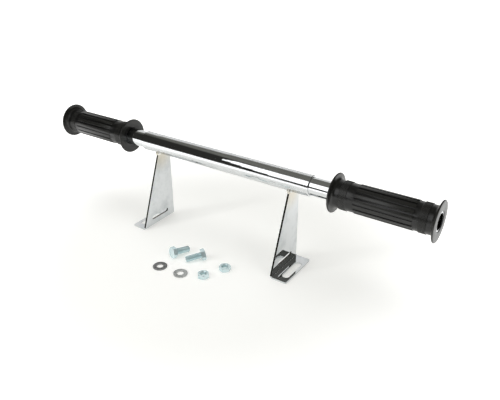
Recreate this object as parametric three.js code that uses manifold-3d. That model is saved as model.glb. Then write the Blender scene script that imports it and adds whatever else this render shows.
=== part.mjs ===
// Bolt-down grip bar: a chromed cross tube in a thicker centre sleeve, a rubber grip on
// each end, two folded steel legs welded under the sleeve, and the loose bolts, washers
// and nuts that fasten its feet.
// Millimetres. X runs along the bar, -Y is the front, Z is up and the ground is at Z = 0.

import * as THREE from 'three';
import { mergeVertices } from 'three/addons/utils/BufferGeometryUtils.js';
import Module from 'manifold-3d';

const wasm = await Module();
wasm.setup();

// ---------------------------------------------------------------- driving dimensions

const fitGap = 0.3; // clearance left between two pieces that touch
const roundSegments = 36; // sides of the bar's round pieces
const smallSegments = 24; // sides of the fasteners' round pieces

const barLength = 545; // over the outer faces of the two grips
const barHeight = 111; // middle of the tube above the ground

const tubeDiameter = 22;
const tubeWall = 1.5;
const tubeRecess = 0.6; // how far the tube's end sits inside the grip's face

const sleeveLength = 253;
const sleeveWall = 1.4;
const sleeveChamfer = 0.9;

const gripLength = 117.6;
const gripWall = 4.8; // rubber on the tube, at the plain bands and necks
const flangeRise = 7; // flange over the plain surface
const flangeThickness = 2;
const innerFlareLength = 3.5; // trumpet from the inner flange down to its neck
const innerNeckLength = 4.5;
const innerBandLength = 9;
const innerPlainLength = 9.3;
const outerPlainLength = 5.5;
const outerBandLength = 8.8;
const outerNeckLength = 4.7;
const outerFlareLength = 3.2;
const bandRise = 0.75; // textured bands over the plain surface
const bandEdge = 0.7; // length of the slope at each end of a textured band
const ribCount = 16;
const ribRise = 0.7; // ribs over the plain surface
const ribDepth = 1.1; // from the top of a rib to the bottom of a groove
const ribShare = 0.64; // part of each pitch that the rib takes
const ribSlope = 0.1; // part of each pitch that each side of a rib takes

const legSpacing = 202; // between the middles of the two legs' webs
const sheet = 2.5; // thickness of the legs' steel
const bendRadius = 0.8; // inside of the fold
const footReach = 21; // foot's outer edge from the middle of the web
const footFront = 46.5; // foot's front edge ahead of the bar's middle
const webTopInset = 7; // sleeve's front to the web's front edge, at the bar's height
const legTopDrop = 4.5; // top of the web's back edge below the bar's middle
const footSlotLength = 38;
const footSlotEdge = 7.3; // foot's outer edge to the middle of its slot
const footSlotFront = 8.5; // foot's front edge to the end of its slot
const webSlotHeight = 5;
const webSlotLength = 32;
const webSlotRise = 12.5; // middle of the web's slot above the ground
const webSlotFront = 15; // foot's front edge to the end of the web's slot

const weldRadius = 2; // weld bead's section
const weldBackInset = 1.8; // bead's end from the web's back edge, along the sleeve
const weldNoseRadius = 3.2; // lump where the bead goes round the web's front corner
const weldNoseDrop = 1.2; // middle of that lump below the sleeve's skin

const threadDiameter = 8;
const threadDepth = 0.6;
const slotClearance = 1.5; // foot's slot over the thread
const washerClearance = 0.4; // washer's hole over the thread
const boltLength = 20;
const boltTipChamfer = 1;
const headAcrossFlats = 13;
const headHeight = 5.3;
const nutHeight = 5.2;
const washerDiameter = 17.5;
const washerThickness = 1.6;

// Where the loose fasteners lie, from the point on the ground under the bar's middle.
const looseBolts = [
  { name: 'bolt_left', x: -26.2, y: -77.4, heading: 71 },
  { name: 'bolt_right', x: 10.1, y: -55.7, heading: 232 },
];
const looseWashers = [
  { name: 'washer_left', x: -25.1, y: -100.7 },
  { name: 'washer_right', x: 5.6, y: -98.5 },
];
const looseNuts = [
  { name: 'nut_left', x: 32.1, y: -87.6, heading: 12 },
  { name: 'nut_right', x: 44.8, y: -61.3, heading: 40 },
];

// ------------------------------------------------------------------- derived sizes

const tubeRadius = tubeDiameter / 2;
const sleeveBore = tubeRadius + fitGap;
const sleeveRadius = sleeveBore + sleeveWall;
const gripBore = tubeRadius + fitGap;
const plainRadius = gripBore + gripWall;
const bandRadius = plainRadius + bandRise;
const flangeRadius = plainRadius + flangeRise;
const ribRadius = plainRadius + ribRise;
const grooveRadius = ribRadius - ribDepth;
const gripInnerFace = barLength / 2 - gripLength;
const webMiddle = legSpacing / 2;
const webInnerFace = webMiddle - sheet / 2;
const webOuterFace = webMiddle + sheet / 2;
const saddleRadius = sleeveRadius + fitGap;
const legBack = saddleRadius; // the leg's back edge lines up with the sleeve's back
const webTopFront = sleeveRadius - webTopInset;
const footSlotWidth = threadDiameter + slotClearance;

// ---------------------------------------------------------------------- materials

const chrome = new THREE.MeshStandardMaterial({ color: 0xd9dcde, metalness: 1, roughness: 0.06 });
const weldChrome = new THREE.MeshStandardMaterial({ color: 0xc9c4b4, metalness: 1, roughness: 0.2 });
const rubber = new THREE.MeshStandardMaterial({ color: 0x17181a, metalness: 0, roughness: 0.5 });
const zinc = new THREE.MeshStandardMaterial({ color: 0xb9c6cc, metalness: 1, roughness: 0.28 });
const washerZinc = new THREE.MeshStandardMaterial({ color: 0xa2a6a8, metalness: 1, roughness: 0.4 });

// ------------------------------------------------------------------ solid helpers

// A closed three.js geometry as a solid that can be joined and cut.
function solidFrom(geometry) {
  const bare = geometry.clone();
  bare.deleteAttribute('normal');
  bare.deleteAttribute('uv');
  const merged = mergeVertices(bare, 1e-4);
  const index = merged.index.array;
  const corners = [];
  for (let i = 0; i < index.length; i += 3) {
    const [a, b, c] = [index[i], index[i + 1], index[i + 2]];
    if (a !== b && b !== c && c !== a) {
      corners.push(a, b, c);
    }
  }
  const vertProperties = new Float32Array(merged.attributes.position.array);
  const triVerts = new Uint32Array(corners);
  return new wasm.Manifold(new wasm.Mesh({ numProp: 3, vertProperties, triVerts }));
}

// A solid as a three.js geometry.
function geometryFrom(solid) {
  const mesh = solid.getMesh();
  const geometry = new THREE.BufferGeometry();
  geometry.setAttribute('position', new THREE.BufferAttribute(mesh.vertProperties, 3));
  geometry.setIndex(new THREE.BufferAttribute(mesh.triVerts, 1));
  geometry.computeVertexNormals();
  return geometry;
}

// A profile of [along, radius] points, going from -X to +X, turned about the X axis.
function turned(profile, segments) {
  const points = profile.map(([along, radius]) => new THREE.Vector2(radius, along));
  return new THREE.LatheGeometry(points, segments).rotateZ(-Math.PI / 2);
}

function shapeFrom(points) {
  return new THREE.Shape(points.map(([u, v]) => new THREE.Vector2(u, v)));
}

// An outline drawn in Y and Z, stretched along X from one face to the other.
function plateAlongX(shape, fromX, toX) {
  const options = { depth: toX - fromX, bevelEnabled: false, curveSegments: 12 };
  const geometry = new THREE.ExtrudeGeometry(shape, options);
  return geometry.rotateZ(Math.PI / 2).rotateY(Math.PI / 2).translate(fromX, 0, 0);
}

// A slot with round ends; its length runs along the outline's first axis.
function slotShape(middleU, middleV, length, width) {
  const radius = width / 2;
  const straight = length / 2 - radius;
  const shape = new THREE.Shape();
  shape.moveTo(middleU - straight, middleV - radius);
  shape.lineTo(middleU + straight, middleV - radius);
  shape.absarc(middleU + straight, middleV, radius, -Math.PI / 2, Math.PI / 2, false);
  shape.lineTo(middleU - straight, middleV + radius);
  shape.absarc(middleU - straight, middleV, radius, Math.PI / 2, Math.PI * 1.5, false);
  return shape;
}

// The same geometry on the other side of the bar, with its faces still pointing out.
function mirrored(geometry) {
  const copy = geometry.clone().scale(-1, 1, 1);
  const index = copy.index.array;
  for (let i = 0; i < index.length; i += 3) {
    const second = index[i + 1];
    index[i + 1] = index[i + 2];
    index[i + 2] = second;
  }
  copy.computeVertexNormals();
  return copy;
}

function part(name, geometry, material) {
  const mesh = new THREE.Mesh(geometry, material);
  mesh.name = name;
  return mesh;
}

// ------------------------------------------------------------------ tube and sleeve

// The through tube, open at both ends.
function crossTube() {
  const half = barLength / 2 - tubeRecess;
  const inner = tubeRadius - tubeWall;
  const profile = [
    [-half, tubeRadius],
    [half, tubeRadius],
    [half, inner],
    [-half, inner],
    [-half, tubeRadius],
  ];
  return turned(profile, roundSegments);
}

// The thicker tube round its middle, chamfered at both ends.
function centreSleeve() {
  const half = sleeveLength / 2;
  const shoulder = sleeveRadius - sleeveChamfer;
  const profile = [
    [-half, shoulder],
    [-half + sleeveChamfer, sleeveRadius],
    [half - sleeveChamfer, sleeveRadius],
    [half, shoulder],
    [half, sleeveBore],
    [-half, sleeveBore],
    [-half, shoulder],
  ];
  return turned(profile, roundSegments);
}

// ------------------------------------------------------------------------- grips

// Half-round edge of a flange, from one face to the other.
function flangeRim(fromX) {
  const rim = flangeThickness / 2;
  const steps = 4;
  const points = [];
  for (let i = 0; i <= steps; i += 1) {
    const angle = (Math.PI * i) / steps;
    points.push([fromX + rim - rim * Math.cos(angle), flangeRadius - rim + rim * Math.sin(angle)]);
  }
  return points;
}

// Trumpet between a flange and its neck; direction is +1 when the neck lies towards +X.
function flare(flangeX, length, direction) {
  const steps = 4;
  const rise = flangeRise - flangeThickness / 2;
  const points = [];
  for (let i = 1; i < steps; i += 1) {
    const angle = (Math.PI / 2) * (i / steps);
    const along = flangeX + direction * length * (1 - Math.cos(angle));
    points.push([along, plainRadius + rise * (1 - Math.sin(angle))]);
  }
  return points;
}

function texturedBand(fromX, length) {
  return [
    [fromX, plainRadius],
    [fromX + bandEdge, bandRadius],
    [fromX + length - bandEdge, bandRadius],
    [fromX + length, plainRadius],
  ];
}

// Outline of the ribbed stretch: flat-topped ribs with sloping sides.
function ribOutline() {
  const pitch = (Math.PI * 2) / ribCount;
  const halfTop = (ribShare / 2 - ribSlope / 2) * pitch;
  const halfFoot = (ribShare / 2 + ribSlope / 2) * pitch;
  const points = [];
  for (let i = 0; i < ribCount; i += 1) {
    const middle = i * pitch;
    const corners = [
      [middle - halfFoot, grooveRadius],
      [middle - halfTop, ribRadius],
      [middle, ribRadius],
      [middle + halfTop, ribRadius],
      [middle + halfFoot, grooveRadius],
    ];
    corners.forEach(([angle, radius]) => points.push([radius * Math.cos(angle), radius * Math.sin(angle)]));
  }
  return shapeFrom(points);
}

// The right-hand grip, from its inner flange out to its end face.
function rightGrip() {
  const innerFace = gripInnerFace;
  const outerFace = innerFace + gripLength;
  const innerBand = innerFace + flangeThickness + innerFlareLength + innerNeckLength;
  const ribStart = innerBand + innerBandLength + innerPlainLength;
  const outerFlare = outerFace - flangeThickness - outerFlareLength;
  const outerBand = outerFlare - outerNeckLength - outerBandLength;
  const ribEnd = outerBand - outerPlainLength;

  const body = [
    [innerFace, 0],
    ...flangeRim(innerFace),
    ...flare(innerFace + flangeThickness, innerFlareLength, 1),
    [innerFace + flangeThickness + innerFlareLength, plainRadius],
    ...texturedBand(innerBand, innerBandLength),
    [ribStart, plainRadius],
    [ribStart, grooveRadius],
    [ribEnd, grooveRadius],
    [ribEnd, plainRadius],
    ...texturedBand(outerBand, outerBandLength),
    [outerFlare, plainRadius],
    ...flare(outerFace - flangeThickness, outerFlareLength, -1).reverse(),
    ...flangeRim(outerFace - flangeThickness),
    [outerFace, 0],
  ];
  const ribs = plateAlongX(ribOutline(), ribStart - fitGap, ribEnd + fitGap);
  const boreProfile = [[0, 0], [0, gripBore], [barLength, gripBore], [barLength, 0]];
  const bore = turned(boreProfile, roundSegments);
  return geometryFrom(solidFrom(turned(body, roundSegments)).add(solidFrom(ribs)).subtract(solidFrom(bore)));
}

// -------------------------------------------------------------------------- legs

// Folded section of a leg, seen from the front: the web goes up and the foot goes out.
function foldOutline() {
  const outerBend = bendRadius + sheet;
  const footEdge = webMiddle + footReach;
  const shape = new THREE.Shape();
  shape.moveTo(webInnerFace + outerBend, 0);
  shape.lineTo(footEdge, 0);
  shape.lineTo(footEdge, sheet);
  shape.lineTo(webOuterFace + bendRadius, sheet);
  shape.absarc(webOuterFace + bendRadius, outerBend, bendRadius, -Math.PI / 2, -Math.PI, true);
  shape.lineTo(webOuterFace, barHeight);
  shape.lineTo(webInnerFace, barHeight);
  shape.lineTo(webInnerFace, outerBend);
  shape.absarc(webInnerFace + outerBend, outerBend, outerBend, Math.PI, Math.PI * 1.5, false);
  return shape;
}

// What stands in front of the web's slanting edge, kept clear by gap.
function aheadOfWeb(gap) {
  const margin = 10;
  return [
    [-footFront - gap, sheet],
    [-webTopFront - gap, barHeight],
    [-webTopFront - gap, barHeight + margin],
    [-footFront - margin, barHeight + margin],
    [-footFront - margin, sheet],
  ];
}

// The space for the sleeve above the web: round below, and open above legTopDrop.
function saddle() {
  const span = [webMiddle - footReach, webMiddle + footReach];
  const profile = [[span[0], 0], [span[0], saddleRadius], [span[1], saddleRadius], [span[1], 0]];
  const round = turned(profile, roundSegments).translate(0, 0, barHeight);
  const reach = legBack + footFront;
  const openTop = [
    [-reach, barHeight - legTopDrop],
    [reach, barHeight - legTopDrop],
    [reach, barHeight + saddleRadius],
    [-reach, barHeight + saddleRadius],
  ];
  return solidFrom(round).add(solidFrom(plateAlongX(shapeFrom(openTop), span[0], span[1])));
}

function rightLeg() {
  const depth = footFront + legBack;
  const blank = new THREE.ExtrudeGeometry(foldOutline(), { depth, bevelEnabled: false, curveSegments: 5 });
  blank.rotateX(Math.PI / 2).translate(0, legBack, 0);

  const webSpan = [webInnerFace - sheet, webMiddle + footReach + sheet];
  const front = plateAlongX(shapeFrom(aheadOfWeb(0)), ...webSpan);

  const webSlotMiddle = -footFront + webSlotFront + webSlotLength / 2;
  const webSlotOutline = slotShape(webSlotMiddle, webSlotRise, webSlotLength, webSlotHeight);
  const webSlot = plateAlongX(webSlotOutline, webInnerFace - sheet, webOuterFace + sheet);

  const footSlotMiddle = [
    webMiddle + footReach - footSlotEdge,
    -footFront + footSlotFront + footSlotLength / 2,
  ];
  const footSlotOutline = slotShape(0, 0, footSlotLength, footSlotWidth);
  const cutDepth = { depth: sheet * 3, bevelEnabled: false, curveSegments: 12 };
  const footSlot = new THREE.ExtrudeGeometry(footSlotOutline, cutDepth).rotateZ(Math.PI / 2);
  footSlot.translate(footSlotMiddle[0], footSlotMiddle[1], -sheet);

  const leg = [front, webSlot, footSlot].reduce(
    (solid, cut) => solid.subtract(solidFrom(cut)),
    solidFrom(blank),
  );
  return geometryFrom(leg.subtract(saddle()));
}

// ------------------------------------------------------------------------- welds

// Point on the sleeve's skin beside the web; angle 0 is straight below, positive in front.
function skinPoint(x, angle) {
  return new THREE.Vector3(x, -sleeveRadius * Math.sin(angle), barHeight - sleeveRadius * Math.cos(angle));
}

// Angle on the sleeve's skin where the web's slanting front edge meets it.
function webFrontAngle() {
  const slope = (footFront - webTopFront) / (barHeight - sheet);
  const square = 1 + slope * slope;
  const linear = webTopFront * slope;
  const root = Math.sqrt(linear ** 2 - square * (webTopFront ** 2 - sleeveRadius ** 2));
  const drop = (root - linear) / square;
  return Math.atan2(webTopFront + slope * drop, drop);
}

// One bead that follows the saddle down one face of the web, round its front corner and
// back along the other face.
function rightWeld() {
  const frontAngle = webFrontAngle();
  const backAngle = weldBackInset / sleeveRadius - Math.atan2(legBack, legTopDrop);
  const steps = 12;
  const beadSection = new THREE.Shape().absarc(0, 0, weldRadius, 0, Math.PI * 2, false);
  const beads = [webInnerFace, webOuterFace].map((x) => {
    const points = [];
    for (let i = 0; i <= steps; i += 1) {
      points.push(skinPoint(x, backAngle + (frontAngle - backAngle) * (i / steps)));
    }
    const extrudePath = new THREE.CatmullRomCurve3(points);
    return new THREE.ExtrudeGeometry(beadSection, { steps: steps * 2, extrudePath, curveSegments: 5 });
  });
  const nose = new THREE.SphereGeometry(weldNoseRadius, 16, 12);
  nose.translate(...skinPoint(webMiddle, frontAngle)).translate(0, 0, -weldNoseDrop);

  const [first, second] = beads.map(solidFrom);
  const deepFront = shapeFrom([
    [legBack + fitGap, barHeight],
    [legBack + fitGap, 0],
    [-footFront - fitGap, 0],
    [-footFront - fitGap, sheet],
    [-webTopFront - fitGap, barHeight],
  ]);
  const web = plateAlongX(deepFront, webInnerFace - fitGap, webOuterFace + fitGap);
  const sleeveProfile = [[0, 0], [0, saddleRadius], [barLength, saddleRadius], [barLength, 0]];
  const sleeve = turned(sleeveProfile, roundSegments).translate(0, 0, barHeight);
  const bead = first.add(second).add(solidFrom(nose));
  return geometryFrom(bead.subtract(solidFrom(web)).subtract(solidFrom(sleeve)));
}

// --------------------------------------------------------------------- fasteners

// Hexagon between two heights on Z, a flat facing -Y; the named ends have turned corners.
function hexagon(height, turnBottom, turnTop) {
  const corner = headAcrossFlats / Math.sqrt(3);
  const drop = (corner - headAcrossFlats / 2) * Math.tan(Math.PI / 6);
  const flat = headAcrossFlats / 2;
  const prism = new THREE.CylinderGeometry(corner, corner, height, 6);
  prism.rotateX(Math.PI / 2).rotateZ(Math.PI / 6).translate(0, 0, height / 2);
  const profile = [
    [0, 0],
    [0, turnBottom ? flat : corner + drop],
    [turnBottom ? drop : 0, corner + drop / 2],
    [turnTop ? height - drop : height, corner + drop / 2],
    [height, turnTop ? flat : corner + drop],
    [height, 0],
  ];
  const turnedBlank = turned(profile, smallSegments).rotateY(-Math.PI / 2);
  return solidFrom(prism).intersect(solidFrom(turnedBlank));
}

// Hexagon bolt standing on its head, its shank going up.
function boltSolid() {
  const top = headHeight + boltLength;
  const radius = threadDiameter / 2;
  const profile = [
    [headHeight / 2, 0],
    [headHeight / 2, radius],
    [top - boltTipChamfer, radius],
    [top, radius - boltTipChamfer],
    [top, 0],
  ];
  const shank = turned(profile, smallSegments).rotateY(-Math.PI / 2);
  return hexagon(headHeight, true, false).add(solidFrom(shank));
}

// A bolt lying on a flat of its head and on the end of its thread.
function lyingBolt({ name, x, y, heading }) {
  const reach = boltLength - boltTipChamfer;
  const tilt = Math.atan((headAcrossFlats - threadDiameter) / 2 / reach);
  const lift = headHeight * Math.sin(tilt) + (headAcrossFlats / 2) * Math.cos(tilt);
  const bolt = part(name, geometryFrom(boltSolid()), zinc);
  bolt.rotation.set(Math.PI / 2 + tilt, 0, THREE.MathUtils.degToRad(heading) + Math.PI / 2, 'ZYX');
  bolt.position.set(x, y, lift);
  return bolt;
}

function washer({ name, x, y }) {
  const outer = washerDiameter / 2;
  const inner = (threadDiameter + washerClearance) / 2;
  const profile = [[0, inner], [0, outer], [washerThickness, outer], [washerThickness, inner], [0, inner]];
  const mesh = part(name, turned(profile, smallSegments).rotateY(-Math.PI / 2), washerZinc);
  mesh.position.set(x, y, 0);
  return mesh;
}

function nut({ name, x, y, heading }) {
  const core = threadDiameter / 2 - threadDepth;
  const profile = [[-1, 0], [-1, core], [nutHeight + 1, core], [nutHeight + 1, 0]];
  const bore = turned(profile, smallSegments).rotateY(-Math.PI / 2);
  const solid = hexagon(nutHeight, true, true).subtract(solidFrom(bore));
  const mesh = part(name, geometryFrom(solid), zinc);
  mesh.rotation.z = THREE.MathUtils.degToRad(heading);
  mesh.position.set(x, y, 0);
  return mesh;
}

// ---------------------------------------------------------------------- assembly

const bar = new THREE.Group();
bar.position.z = barHeight;
const grip = rightGrip();
bar.add(part('cross_tube', crossTube(), chrome));
bar.add(part('centre_sleeve', centreSleeve(), chrome));
bar.add(part('grip_right', grip, rubber));
bar.add(part('grip_left', mirrored(grip), rubber));

const legs = new THREE.Group();
const leg = rightLeg();
const weld = rightWeld();
legs.add(part('leg_right', leg, chrome));
legs.add(part('leg_left', mirrored(leg), chrome));
legs.add(part('weld_right', weld, weldChrome));
legs.add(part('weld_left', mirrored(weld), weldChrome));

const fasteners = new THREE.Group();
looseBolts.forEach((place) => fasteners.add(lyingBolt(place)));
looseWashers.forEach((place) => fasteners.add(washer(place)));
looseNuts.forEach((place) => fasteners.add(nut(place)));

// The origin is on the ground, at the centre of everything's footprint.
const assembly = new THREE.Group();
assembly.add(bar, legs, fasteners);
assembly.updateMatrixWorld(true);
const footprint = new THREE.Box3().setFromObject(assembly, true);
assembly.position.y = -(footprint.min.y + footprint.max.y) / 2;

const gripBar = new THREE.Group();
gripBar.add(assembly);

export default gripBar;
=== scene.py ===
# %% [markdown]
# # A bolt-down grip bar
# A chromed steel tube carries a rubber grip at each end and a thicker sleeve round its
# middle. Two folded legs are welded under the sleeve, and the bolts, washers and nuts for
# their feet lie loose on the floor. The CAD frame gives every size and place. Its pieces
# are plain, and a mirror finish shows each flat side of a coarse round, so here every
# piece is modelled again, finer and with its small edges, in the same place.

# %% Load the frame
import math

import bmesh
import bpy
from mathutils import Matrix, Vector


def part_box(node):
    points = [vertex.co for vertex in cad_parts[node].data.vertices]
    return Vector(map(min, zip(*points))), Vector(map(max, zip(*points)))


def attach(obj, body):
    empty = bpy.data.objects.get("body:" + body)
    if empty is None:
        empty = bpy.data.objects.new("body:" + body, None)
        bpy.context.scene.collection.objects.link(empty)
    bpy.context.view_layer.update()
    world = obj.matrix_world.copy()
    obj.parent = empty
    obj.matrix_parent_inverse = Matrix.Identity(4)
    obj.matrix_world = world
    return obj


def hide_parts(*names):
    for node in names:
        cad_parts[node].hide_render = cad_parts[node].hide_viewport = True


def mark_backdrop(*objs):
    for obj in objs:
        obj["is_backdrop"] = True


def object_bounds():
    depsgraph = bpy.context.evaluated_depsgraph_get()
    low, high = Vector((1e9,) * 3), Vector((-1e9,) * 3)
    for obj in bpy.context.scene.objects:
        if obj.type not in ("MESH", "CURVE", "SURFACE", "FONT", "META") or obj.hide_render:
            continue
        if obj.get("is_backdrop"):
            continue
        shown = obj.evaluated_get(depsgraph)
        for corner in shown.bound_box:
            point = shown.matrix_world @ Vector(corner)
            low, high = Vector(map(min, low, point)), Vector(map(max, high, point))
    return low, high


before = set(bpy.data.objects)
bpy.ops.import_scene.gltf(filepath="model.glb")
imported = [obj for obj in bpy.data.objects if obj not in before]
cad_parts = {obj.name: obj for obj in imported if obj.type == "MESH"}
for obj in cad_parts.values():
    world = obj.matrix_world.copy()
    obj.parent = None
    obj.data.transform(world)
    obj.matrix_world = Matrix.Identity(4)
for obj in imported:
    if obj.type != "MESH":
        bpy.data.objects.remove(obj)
cad_low, cad_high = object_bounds()
MM = 0.001
SAME_PLACE = 1e-5  # metres within which two places count as one
print("frame, mm:", [round(v / MM, 1) for v in (*cad_low, *cad_high)])

# %% [markdown]
# The tools below keep the modelling short. Each operator acts on whatever is selected, so
# nothing may be left selected by accident: `start_clean` clears the choice, `settle` puts
# a new primitive's place into its mesh, and `pick` selects by place or normal.

# %% Tools for picking and placing
SELECT_MODE = {"verts": "VERT", "edges": "EDGE", "faces": "FACE"}


def start_clean():
    """Leaves edit mode with nothing selected."""
    if bpy.context.object is not None and bpy.context.object.mode == "EDIT":
        bpy.ops.object.mode_set(mode="OBJECT")
    bpy.ops.object.select_all(action="DESELECT")


def hold(piece):
    """Makes this piece the only one selected."""
    start_clean()
    piece.select_set(True)
    bpy.context.view_layer.objects.active = piece
    return piece


def settle(name):
    """Names the primitive just added and puts its place, turn and size into its mesh."""
    piece = bpy.context.object
    bpy.ops.object.transform_apply(location=True, rotation=True, scale=True)
    piece.name = name
    piece.data.name = name
    return piece


def edit(piece):
    """Opens a piece in edit mode with nothing selected."""
    hold(piece)
    bpy.ops.object.mode_set(mode="EDIT")
    bpy.ops.mesh.select_all(action="DESELECT")


def pick(kind, test):
    """Selects the verts, edges or faces of the open piece that pass the test."""
    bpy.ops.mesh.select_mode(type=SELECT_MODE[kind])
    bpy.ops.mesh.select_all(action="DESELECT")
    mesh = bpy.context.object.data
    opened = bmesh.from_edit_mesh(mesh)
    found = [item for item in getattr(opened, kind) if test(item)]
    for item in found:
        item.select_set(True)
    opened.select_flush_mode()
    bmesh.update_edit_mesh(mesh)
    return len(found)


def middle(item):
    """Middle of an edge or a face."""
    if hasattr(item, "calc_center_median"):
        return item.calc_center_median()
    return (item.verts[0].co + item.verts[1].co) / 2


def face_outwards():
    """Turns every face of the open piece outwards and closes edit mode."""
    bpy.ops.mesh.select_all(action="SELECT")
    bpy.ops.mesh.normals_make_consistent(inside=False)
    bpy.ops.object.mode_set(mode="OBJECT")


# %% Tools for modifiers and copies
def finish_with(piece, kind, **settings):
    """Adds one modifier and applies it."""
    hold(piece)
    modifier = piece.modifiers.new(kind.title(), kind)
    for name, value in settings.items():
        setattr(modifier, name, value)
    bpy.ops.object.modifier_apply(modifier=modifier.name)


def cut(piece, tool, operation="DIFFERENCE"):
    """Cuts a piece with a tool body, or joins them, and removes the tool."""
    finish_with(piece, "BOOLEAN", operation=operation, object=tool, solver="EXACT")
    bpy.data.objects.remove(tool)


def soften(piece, width, segments=2, corner=35):
    """Rounds the hard edges a little and keeps the flat faces flat to the light."""
    if width:
        limit = math.radians(corner)
        finish_with(piece, "BEVEL", width=width, segments=segments, limit_method="ANGLE",
                    angle_limit=limit)
    hold(piece)
    bpy.ops.object.shade_smooth_by_angle(angle=math.radians(corner))
    finish_with(piece, "WEIGHTED_NORMAL", keep_sharp=True)


def copy_of(piece, name):
    """A second piece with a mesh of its own."""
    hold(piece)
    bpy.ops.object.duplicate(linked=False)
    twin = bpy.context.object
    twin.name = name
    twin.data.name = name
    return twin


def mirrored(piece, name):
    """The same piece on the other side of the bar's middle."""
    twin = copy_of(piece, name)
    twin.scale.x = -1
    bpy.ops.object.transform_apply(location=False, rotation=False, scale=True)
    edit(twin)
    face_outwards()
    return twin


def stands_for(piece, node, body):
    """Lets a piece take a CAD node's place and ride with its body."""
    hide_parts(node)
    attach(piece, body)
    low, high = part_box(node)
    new_low = Vector([min(v.co[i] for v in piece.data.vertices) for i in range(3)])
    new_high = Vector([max(v.co[i] for v in piece.data.vertices) for i in range(3)])
    over = max(max(low - new_low), max(new_high - high)) / MM
    print(f"{piece.name}: {len(piece.data.polygons)} faces, {over:+.2f} mm outside the node")


# %% [markdown]
# ## Tube and sleeve
# On the real bar one 22 mm tube runs from end to end, and a thicker tube is pushed over
# its middle. Both are plain tubes, so each starts as a cylinder whose two ends are inset
# by the wall and bridged through. A spin of a profile would do as well, but the cylinder
# keeps the two rims as clean loops that a bevel can turn into the real chamfers. The
# sides are many because a mirror shows every flat.

# %% Where the bar is
tube_low, tube_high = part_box("cross_tube")
bar = (tube_low + tube_high) / 2
tube_radius = (tube_high.z - tube_low.z) / 2
sleeve_low, sleeve_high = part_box("centre_sleeve")
sleeve_radius = (sleeve_high.z - sleeve_low.z) / 2
ALONG_BAR = (0, math.pi / 2, 0)
BAR_SIDES = 128
print("bar middle, mm:", [round(v / MM, 2) for v in bar], "radius", round(tube_radius / MM, 2))


def off_axis(point):
    """Distance of a point from the bar's own axis."""
    return math.hypot(point.y - bar.y, point.z - bar.z)


# %% Model the two tubes
def bar_tube(name, low, high, radius, wall, chamfer):
    """A tube on the bar's axis with its outer rims chamfered."""
    start_clean()
    bpy.ops.mesh.primitive_cylinder_add(vertices=BAR_SIDES, radius=radius,
                                        depth=high.x - low.x, location=bar, rotation=ALONG_BAR)
    tube = settle(name)
    edit(tube)
    pick("faces", lambda f: abs(f.normal.x) > 0.9)
    bpy.ops.mesh.inset(thickness=wall)
    bpy.ops.mesh.bridge_edge_loops()
    rim = high.x - SAME_PLACE

    def outer_rim(edge):
        return all(abs(v.co.x) > rim and off_axis(v.co) > radius - SAME_PLACE
                   for v in edge.verts)

    print(name, "rim edges:", pick("edges", outer_rim))
    bpy.ops.mesh.bevel(offset=chamfer, segments=3, affect="EDGES")
    face_outwards()
    hold(tube)
    bpy.ops.object.shade_smooth_by_angle(angle=math.radians(30))
    finish_with(tube, "WEIGHTED_NORMAL", keep_sharp=True)
    return tube


tube = bar_tube("through_tube", tube_low, tube_high, tube_radius,
                wall=1.5 * MM, chamfer=0.25 * MM)
sleeve = bar_tube("thick_sleeve", sleeve_low, sleeve_high, sleeve_radius,
                  wall=1.6 * MM, chamfer=0.8 * MM)
stands_for(tube, "cross_tube", "bar")
stands_for(sleeve, "centre_sleeve", "bar")

# %% [markdown]
# ## Legs
# Each leg is one strip of 2.5 mm steel, cut to a taper and folded once, so that it has an
# upright web and a foot turned outwards. A block with booleans would give the outline but
# not the even bend, so the leg is made as a sheet: a plane for the web's inner face, its
# front edge drawn back to the taper, its bottom edge spun round the fold and extruded
# along the floor. Solidify then gives the thickness, and two slots and the saddle for the
# sleeve are cut out. A small bevel stands for the rounded edges that plating leaves.

# %% Sizes of the leg
leg_low, leg_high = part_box("leg_right")
SHEET = 2.5 * MM
FOLD = 3.3 * MM  # outside radius of the fold
TOP_INSET = 7 * MM  # how far the web's front edge stands behind the sleeve's front, at its top
TOE_CORNER = 1.6 * MM  # corners of the foot's outer end
web_middle = leg_low.x + SHEET / 2
foot_front = bar.y - leg_low.y
top_front = bar.y - sleeve_low.y - TOP_INSET
taper = (foot_front - top_front) / (bar.z - SHEET)


def front_of_web(height):
    """Y of the web's front edge at a height above the floor."""
    return leg_low.y + (height - SHEET) * taper


print("taper, mm per mm:", round(taper, 4), "web middle", round(web_middle / MM, 2))


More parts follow.
